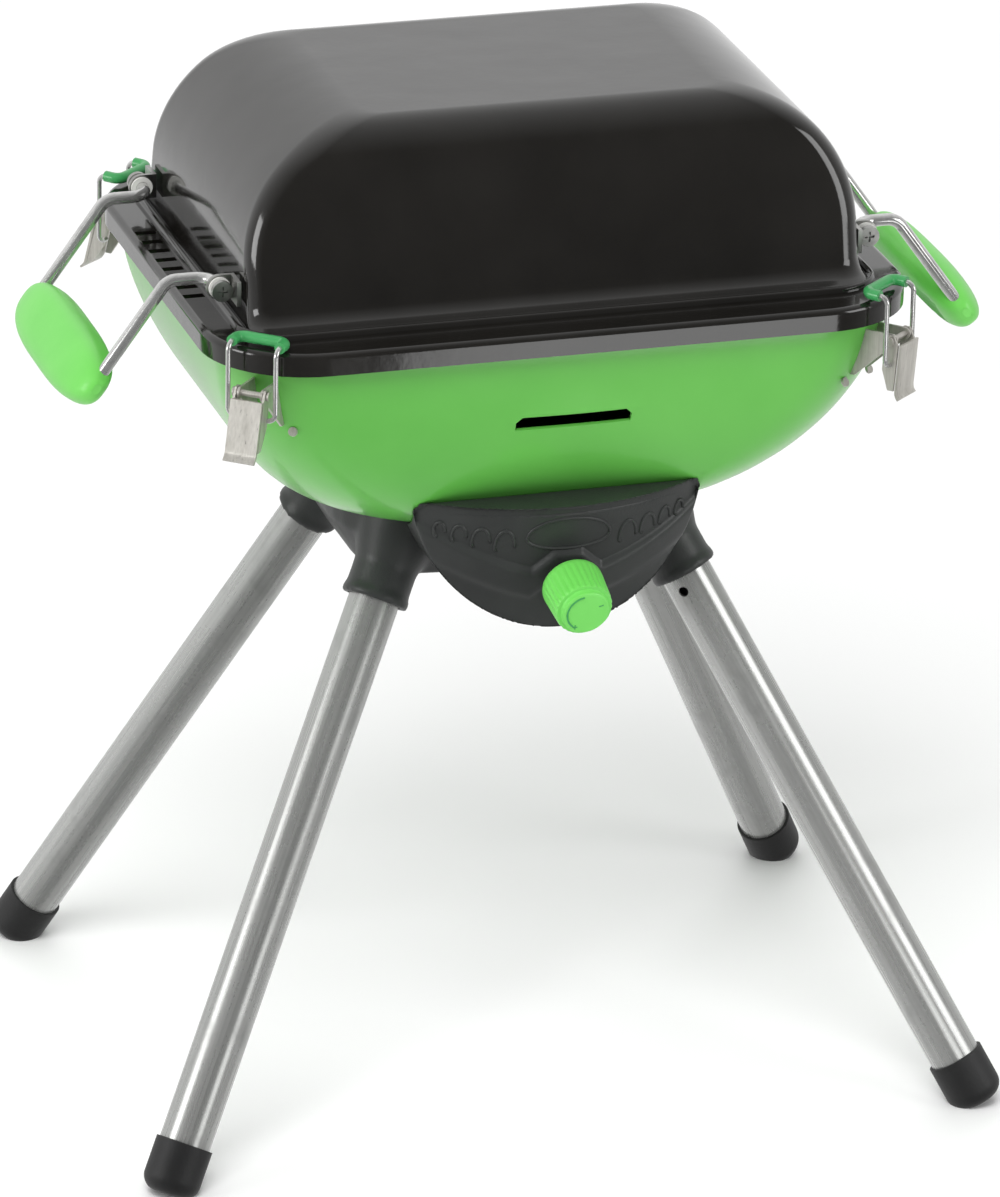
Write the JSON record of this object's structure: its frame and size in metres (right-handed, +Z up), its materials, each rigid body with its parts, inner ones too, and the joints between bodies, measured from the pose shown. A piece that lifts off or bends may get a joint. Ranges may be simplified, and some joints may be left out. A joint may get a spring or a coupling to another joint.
{
  "type": "camp grill",
  "caption": "Tabletop gas camp grill with a deep lid, painted bowl, corner toggle latches, fold-down handles and splayed plug-in legs.",
  "frame": {"origin": "centre of the footprint on the ground", "axes": "+Z up, -Y towards the control knob, +X to the right seen from the front"},
  "size_m": [0.4644, 0.3382, 0.5033],
  "materials": {
    "green_paint": "gloss",
    "black_enamel": "gloss",
    "plated_wire": "satin",
    "bare_steel": "satin",
    "brass": "satin",
    "black_plastic": "matte",
    "cast_zinc": "satin",
    "black_rubber": "matte",
    "copper_pipe": "satin",
    "green_plastic": "satin",
    "zinc_plate": "satin",
    "nickel_plate": "satin",
    "green_sleeve": "satin",
    "chrome_wire": "polished",
    "grip_plastic": "satin",
    "white_nylon": "matte",
    "leg_steel": "satin"
  },
  "bodies": {
    "base": {"fire_bowl": "green_paint", "rim_frame": "black_enamel", "heat_deflector": "bare_steel", "burner_cap": "brass", "burner_tube": "bare_steel", "gas_jet": "brass", "leg_housing": "black_plastic", "control_fascia": "black_plastic", "regulator_body": "cast_zinc", "inlet_seal": "black_rubber", "supply_pipe": "copper_pipe", "gas_valve": "brass", "housing_screws": "zinc_plate", "latch_rivets": "nickel_plate", "latch_bracket_front_left": "nickel_plate", "latch_bracket_front_right": "nickel_plate", "latch_bracket_back_left": "nickel_plate", "latch_bracket_back_right": "nickel_plate", "latch_pin_front_left": "nickel_plate", "latch_pin_front_right": "nickel_plate", "latch_pin_back_left": "nickel_plate", "latch_pin_back_right": "nickel_plate"},
    "lid": {"lid_shell": "black_enamel", "handle_ears": "zinc_plate"},
    "grate": {"cooking_grate": "plated_wire"},
    "handle_left": {"handle_wire_left": "chrome_wire", "handle_grip_left": "grip_plastic", "pivot_washers_left": "white_nylon", "pivot_screws_left": "zinc_plate"},
    "handle_right": {"handle_wire_right": "chrome_wire", "handle_grip_right": "grip_plastic", "pivot_washers_right": "white_nylon", "pivot_screws_right": "zinc_plate"},
    "knob": {"control_knob": "green_plastic", "valve_stem": "bare_steel"},
    "leg_front_left": {"leg_tube_front_left": "leg_steel", "leg_foot_front_left": "black_rubber"},
    "latch_front_left": {"latch_lever_front_left": "nickel_plate"},
    "loop_front_left": {"latch_loop_front_left": "nickel_plate", "loop_sleeve_front_left": "green_sleeve"},
    "leg_front_right": {"leg_tube_front_right": "leg_steel", "leg_foot_front_right": "black_rubber"},
    "latch_front_right": {"latch_lever_front_right": "nickel_plate"},
    "loop_front_right": {"latch_loop_front_right": "nickel_plate", "loop_sleeve_front_right": "green_sleeve"},
    "leg_back_left": {"leg_tube_back_left": "leg_steel", "leg_foot_back_left": "black_rubber"},
    "latch_back_left": {"latch_lever_back_left": "nickel_plate"},
    "loop_back_left": {"latch_loop_back_left": "nickel_plate", "loop_sleeve_back_left": "green_sleeve"},
    "leg_back_right": {"leg_tube_back_right": "leg_steel", "leg_foot_back_right": "black_rubber"},
    "latch_back_right": {"latch_lever_back_right": "nickel_plate"},
    "loop_back_right": {"latch_loop_back_right": "nickel_plate", "loop_sleeve_back_right": "green_sleeve"}
  },
  "joints": [
    {"name": "lid_lift", "type": "slide", "parent": "base", "child": "lid", "axis": [0, 0, 1], "range_m": [0, 0.2]},
    {"name": "grate_lift", "type": "slide", "parent": "base", "child": "grate", "axis": [0, 0, 1], "range_m": [0, 0.012]},
    {"name": "handle_left_fold", "type": "hinge", "parent": "lid", "child": "handle_left", "pos_m": [-0.16, 0, 0.427], "axis": [0, 1, 0], "range_deg": [0, 110]},
    {"name": "handle_right_fold", "type": "hinge", "parent": "lid", "child": "handle_right", "pos_m": [0.16, 0, 0.427], "axis": [0, -1, 0], "range_deg": [0, 110]},
    {"name": "knob_turn", "type": "hinge", "parent": "base", "child": "knob", "pos_m": [0, -0.15, 0.276], "axis": [0, -0.9724, -0.2334], "range_deg": [-270, 0]},
    {"name": "leg_front_left_pull", "type": "slide", "parent": "base", "child": "leg_front_left", "axis": [-0.4228, -0.3244, -0.8462], "range_m": [0, 0.06]},
    {"name": "latch_front_left_open", "type": "hinge", "parent": "base", "child": "latch_front_left", "pos_m": [-0.159, -0.1299, 0.394], "axis": [-0.766, 0.6428, 0], "range_deg": [0, 130]},
    {"name": "loop_front_left_swing", "type": "hinge", "parent": "latch_front_left", "child": "loop_front_left", "pos_m": [-0.159, -0.1299, 0.382], "axis": [-0.766, 0.6428, 0], "range_deg": [-170, 0]},
    {"name": "leg_front_right_pull", "type": "slide", "parent": "base", "child": "leg_front_right", "axis": [0.4228, -0.3244, -0.8462], "range_m": [0, 0.06]},
    {"name": "latch_front_right_open", "type": "hinge", "parent": "base", "child": "latch_front_right", "pos_m": [0.159, -0.1299, 0.394], "axis": [-0.766, -0.6428, 0], "range_deg": [0, 130]},
    {"name": "loop_front_right_swing", "type": "hinge", "parent": "latch_front_right", "child": "loop_front_right", "pos_m": [0.159, -0.1299, 0.382], "axis": [-0.766, -0.6428, 0], "range_deg": [-170, 0]},
    {"name": "leg_back_left_pull", "type": "slide", "parent": "base", "child": "leg_back_left", "axis": [-0.4228, 0.3244, -0.8462], "range_m": [0, 0.06]},
    {"name": "latch_back_left_open", "type": "hinge", "parent": "base", "child": "latch_back_left", "pos_m": [-0.159, 0.1299, 0.394], "axis": [0.766, 0.6428, 0], "range_deg": [0, 130]},
    {"name": "loop_back_left_swing", "type": "hinge", "parent": "latch_back_left", "child": "loop_back_left", "pos_m": [-0.159, 0.1299, 0.382], "axis": [0.766, 0.6428, 0], "range_deg": [-170, 0]},
    {"name": "leg_back_right_pull", "type": "slide", "parent": "base", "child": "leg_back_right", "axis": [0.4228, 0.3244, -0.8462], "range_m": [0, 0.06]},
    {"name": "latch_back_right_open", "type": "hinge", "parent": "base", "child": "latch_back_right", "pos_m": [0.159, 0.1299, 0.394], "axis": [0.766, -0.6428, 0], "range_deg": [0, 130]},
    {"name": "loop_back_right_swing", "type": "hinge", "parent": "latch_back_right", "child": "loop_back_right", "pos_m": [0.159, 0.1299, 0.382], "axis": [0.766, -0.6428, 0], "range_deg": [-170, 0]}
  ],
  "couplings": [
    {"joint": "loop_front_left_swing", "follows": "latch_front_left_open", "ratio": -1.25},
    {"joint": "loop_front_right_swing", "follows": "latch_front_right_open", "ratio": -1.25},
    {"joint": "loop_back_left_swing", "follows": "latch_back_left_open", "ratio": -1.25},
    {"joint": "loop_back_right_swing", "follows": "latch_back_right_open", "ratio": -1.25}
  ]
}
